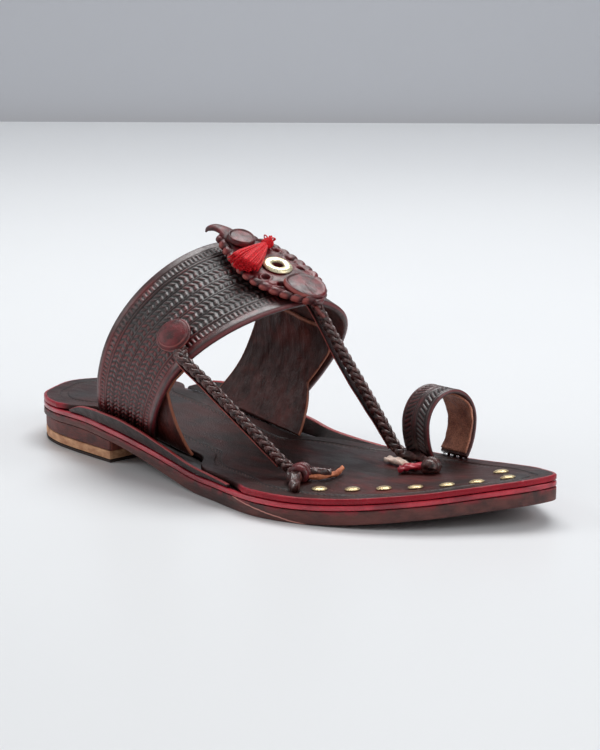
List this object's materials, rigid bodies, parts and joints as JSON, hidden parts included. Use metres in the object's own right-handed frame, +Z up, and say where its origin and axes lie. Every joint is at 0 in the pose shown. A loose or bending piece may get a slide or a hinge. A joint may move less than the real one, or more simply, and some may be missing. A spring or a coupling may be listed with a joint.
{
  "type": "kolhapuri sandal",
  "caption": "Open leather sandal with a stacked sole, wide embossed instep band, toe ring, braided thongs and a leaf ornament with a tassel.",
  "frame": {"origin": "middle of the heel's resting face, on the floor plane", "axes": "+X from heel to toe, +Y to the inner (medial) side of the right foot, +Z up from the floor"},
  "size_m": [0.2846, 0.1088, 0.1045],
  "materials": {
    "insole_leather": "smooth dark brown leather, worn reddish where the foot rests, satin",
    "edge_leather": "leather edge painted red, glossy",
    "outsole_leather": "stacked brown sole leather, cut edge, satin",
    "natural_leather": "undyed vegetable tanned leather, matt",
    "tap_leather": "dark bottom layer, matt",
    "upper_leather": "dark brown embossed leather with reddish mottling, satin",
    "ornament_leather": "maroon dyed leather, satin",
    "brass": "polished pale brass",
    "tassel_thread": "red silk thread, soft sheen"
  },
  "bodies": {
    "root": {"insole": "insole_leather", "midsole": "edge_leather", "outsole": "outsole_leather", "heel_block": "outsole_leather", "heel_lift": "natural_leather", "heel_tap": "tap_leather", "instep_band": "upper_leather", "ear_wing_outer": "upper_leather", "ear_wing_inner": "upper_leather", "ear_lip_outer": "upper_leather", "ear_lip_inner": "upper_leather", "toe_ring": "upper_leather", "medallion": "ornament_leather", "eyelet": "brass", "petal": "ornament_leather", "button": "ornament_leather", "tassel": "tassel_thread", "stud": "ornament_leather", "thong_centre": "upper_leather", "thong_outer": "upper_leather", "backing_centre": "ornament_leather", "backing_outer": "ornament_leather", "knot_centre": "ornament_leather", "tail_centre": "natural_leather", "knot_outer": "ornament_leather", "tail_outer": "natural_leather", "rivet_1": "brass", "rivet_2": "brass", "rivet_3": "brass", "rivet_4": "brass", "rivet_5": "brass", "rivet_6": "brass", "rivet_7": "brass", "rivet_8": "brass"}
  },
  "joints": []
}
